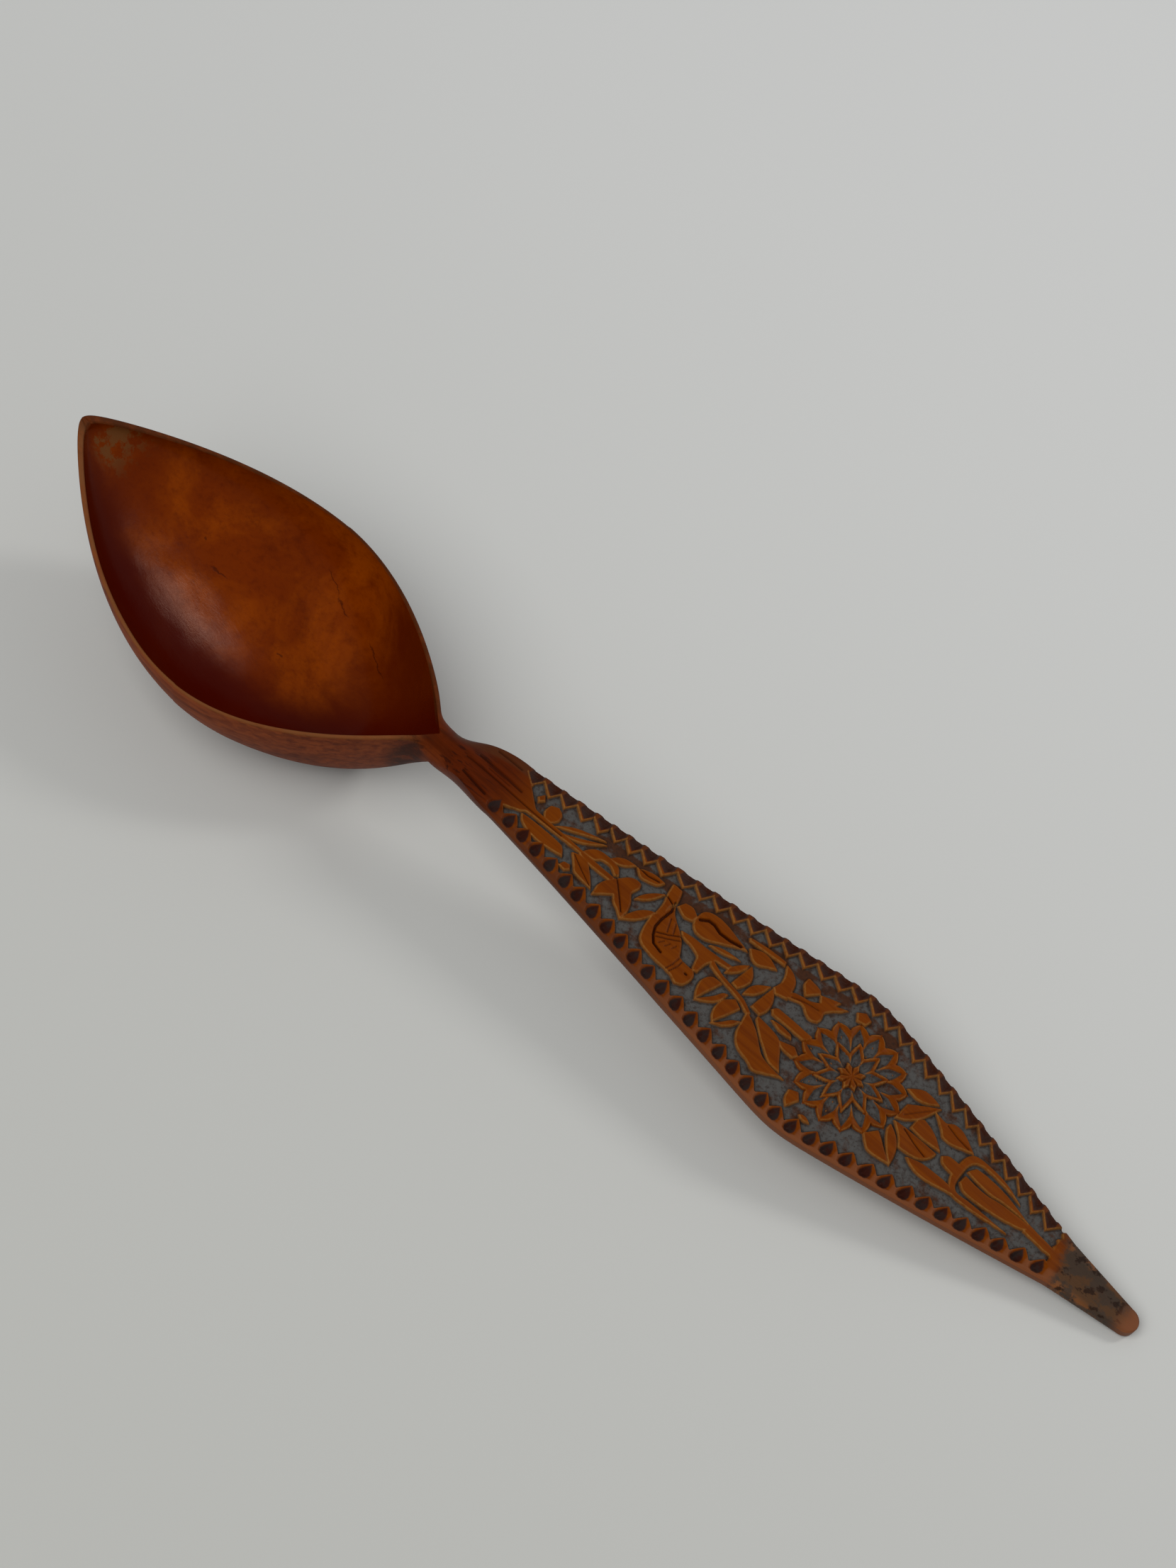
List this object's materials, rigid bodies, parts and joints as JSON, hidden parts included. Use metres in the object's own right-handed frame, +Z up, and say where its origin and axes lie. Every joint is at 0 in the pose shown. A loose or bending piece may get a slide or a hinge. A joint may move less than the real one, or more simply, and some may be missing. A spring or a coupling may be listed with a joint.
{
  "type": "carved wooden spoon",
  "caption": "Carved wooden spoon with a pointed leaf-shaped bowl, a narrow neck and a flat lozenge-shaped handle with chip-carved borders and relief carving.",
  "frame": {"origin": "middle of the spoon's plan outline, on the surface that it lies on", "axes": "+X along the spoon towards the end of the handle, -X towards the bowl's tip, +Y across it, +Z up out of the bowl"},
  "size_m": [0.2768, 0.0548, 0.045],
  "materials": {
    "smooth_wood": "oiled and worn smooth, with a soft gloss",
    "carved_wood": "oiled raised carving over a dark matt ground"
  },
  "bodies": {
    "root": {"bowl": "smooth_wood", "neck": "smooth_wood", "handle": "carved_wood"}
  },
  "joints": []
}
